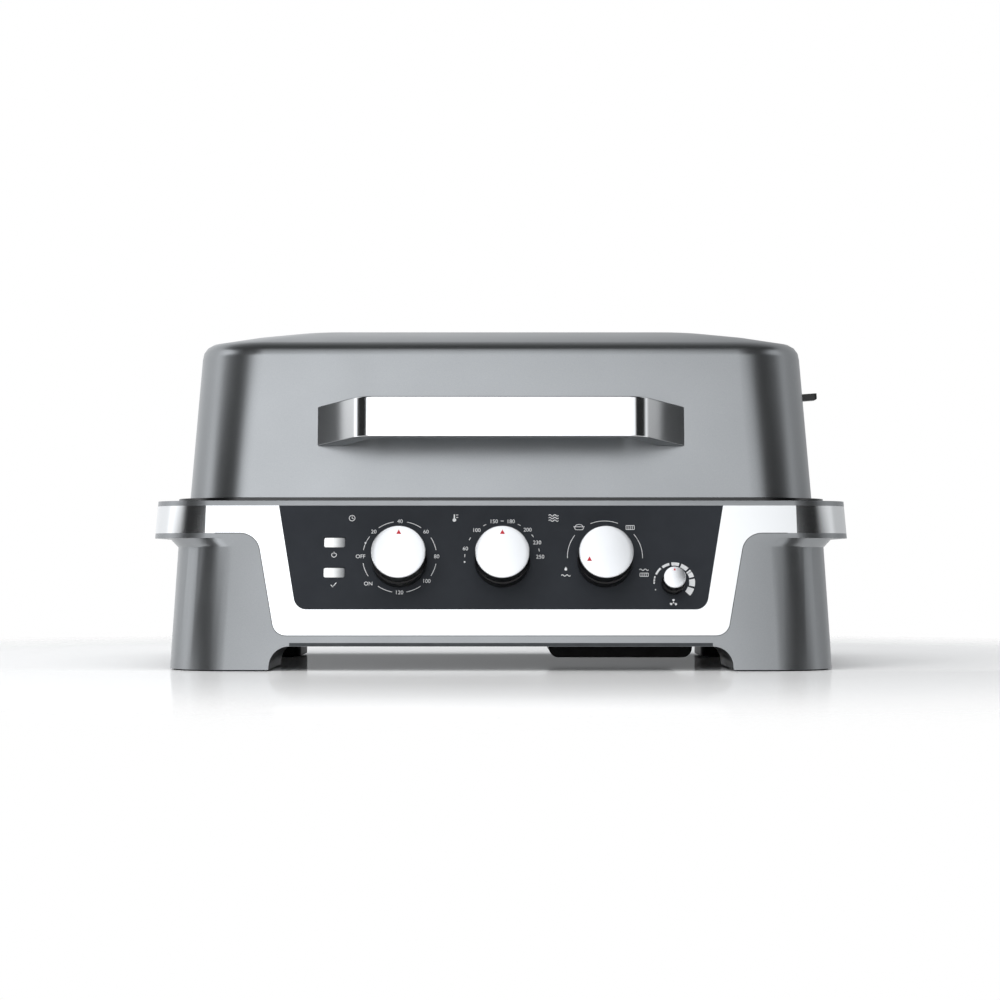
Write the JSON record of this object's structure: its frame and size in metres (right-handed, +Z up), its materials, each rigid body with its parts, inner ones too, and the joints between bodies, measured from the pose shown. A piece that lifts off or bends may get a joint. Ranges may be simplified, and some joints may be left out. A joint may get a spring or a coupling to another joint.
{
  "type": "electric table grill",
  "caption": "Lidded electric table grill with a bar handle, a knob panel on the leaning front, a cast grate over a heated pan, a smoker box and a drip tray under the base.",
  "frame": {"origin": "middle of the footprint, on the table", "axes": "+X to the right seen from the front, +Y towards the back, +Z up; the lid handle and the controls face -Y"},
  "size_m": [0.5466, 0.4202, 0.27],
  "materials": {
    "housing_paint": "satin grey metallic paint on a moulded housing",
    "lid_paint": "satin grey metallic paint on a cast lid",
    "lid_inside": "plain sheet, satin",
    "polished_steel": "mirror-polished steel",
    "panel_plastic": "fine satin moulded panel",
    "lamp_lens": "milky moulded lens",
    "circuit_board": "laminate",
    "control_case": "moulded thermoset",
    "zinc_steel": "zinc-plated pressed steel",
    "knob_plastic": "gloss moulded plastic",
    "knob_metal": "spun aluminium cap",
    "pan_enamel": "black vitreous enamel on pressed steel",
    "shield_steel": "aluminised sheet",
    "element_sheath": "heat-darkened steel tube",
    "motor_steel": "drawn steel can",
    "blower_plastic": "moulded plastic",
    "cover_steel": "black powder-coated sheet",
    "tray_enamel": "black enamel on a pressed tray",
    "foot_plastic": "moulded plastic foot",
    "pad_rubber": "soft rubber sole",
    "grate_iron": "cast plate with a dark non-stick coat",
    "smoker_steel": "folded stainless sheet",
    "inlet_plastic": "moulded thermoset inlet",
    "vent_plastic": "black coated slide"
  },
  "bodies": {
    "base": {"base_housing": "housing_paint", "front_fascia": "polished_steel", "control_panel": "panel_plastic", "power_lamp_lens": "lamp_lens", "ready_lamp_lens": "lamp_lens", "lamp_board": "circuit_board", "timer_unit": "control_case", "thermostat_unit": "control_case", "function_switch": "control_case", "blower_dimmer": "control_case", "control_nuts": "zinc_steel", "cooking_pan": "pan_enamel", "heat_shield": "shield_steel", "heating_element": "element_sheath", "element_brackets": "zinc_steel", "temperature_probe": "smoker_steel", "smoker_holder": "smoker_steel", "smoke_igniter": "element_sheath", "blower_housing": "blower_plastic", "blower_motor": "motor_steel", "drain_spout": "shield_steel", "bottom_cover": "cover_steel", "bottom_screws": "zinc_steel", "tray_runners": "zinc_steel", "rear_foot_right": "foot_plastic", "rear_foot_left": "foot_plastic", "foot_pads": "pad_rubber", "hinge_brackets": "zinc_steel", "hinge_pins": "zinc_steel", "power_inlet": "inlet_plastic", "terminal_block": "control_case"},
    "lid": {"lid_shell": "lid_paint", "lid_liner": "lid_inside", "lid_handle": "polished_steel", "handle_screws": "zinc_steel", "hinge_arms": "zinc_steel"},
    "vent_slide": {"vent_damper": "vent_plastic"},
    "timer_knob": {"timer_shaft": "zinc_steel", "timer_knob_body": "knob_plastic", "timer_knob_cap": "knob_metal"},
    "thermostat_knob": {"thermostat_shaft": "zinc_steel", "thermostat_knob_body": "knob_plastic", "thermostat_knob_cap": "knob_metal"},
    "function_knob": {"function_shaft": "zinc_steel", "function_knob_body": "knob_plastic", "function_knob_cap": "knob_metal"},
    "blower_knob": {"blower_shaft": "zinc_steel", "blower_knob_body": "knob_plastic", "blower_knob_cap": "knob_metal"},
    "drip_tray": {"drip_tray": "tray_enamel"},
    "grill_grate": {"grill_grate": "grate_iron"},
    "smoker_box": {"smoker_box": "smoker_steel"},
    "smoker_cover": {"smoker_cover": "smoker_steel"},
    "blower_wheel": {"blower_impeller": "blower_plastic"}
  },
  "joints": [
    {"name": "lid_hinge", "type": "hinge", "parent": "base", "child": "lid", "pos_m": [0, 0.18805, 0.143], "axis": [-1, 0, 0], "range_deg": [0, 92]},
    {"name": "vent_slide", "type": "slide", "parent": "lid", "child": "vent_slide", "axis": [0, 1, 0], "range_m": [0, 0.01]},
    {"name": "timer_knob_turn", "type": "hinge", "parent": "base", "child": "timer_knob", "pos_m": [-0.0783, -0.17815, 0.084], "axis": [0, 0.9613, -0.2756], "range_deg": [-135, 180]},
    {"name": "thermostat_knob_turn", "type": "hinge", "parent": "base", "child": "thermostat_knob", "pos_m": [0.001, -0.17815, 0.084], "axis": [0, 0.9613, -0.2756], "range_deg": [-100, 90]},
    {"name": "function_knob_turn", "type": "hinge", "parent": "base", "child": "function_knob", "pos_m": [0.0803, -0.17815, 0.084], "axis": [0, 0.9613, -0.2756], "range_deg": [0, 214]},
    {"name": "blower_knob_turn", "type": "hinge", "parent": "base", "child": "blower_knob", "pos_m": [0.1325, -0.18319, 0.0664], "axis": [0, 0.9613, -0.2756], "range_deg": [-115, 115]},
    {"name": "drip_tray_slide", "type": "slide", "parent": "base", "child": "drip_tray", "axis": [0, -1, 0], "range_m": [0, 0.12]},
    {"name": "grill_grate_lift", "type": "slide", "parent": "base", "child": "grill_grate", "axis": [0, 0, 1], "range_m": [0, 0.06]},
    {"name": "smoker_box_lift", "type": "slide", "parent": "base", "child": "smoker_box", "axis": [0, 0, 1], "range_m": [0, 0.05]},
    {"name": "smoker_cover_hinge", "type": "hinge", "parent": "smoker_box", "child": "smoker_cover", "pos_m": [0.2206, 0.01405, 0.1226], "axis": [0, 1, 0], "range_deg": [0, 95]},
    {"name": "blower_spin", "type": "hinge", "parent": "base", "child": "blower_wheel", "pos_m": [0.13, 0.05906, 0.03], "axis": [0, 0, 1], "continuous": true}
  ]
}
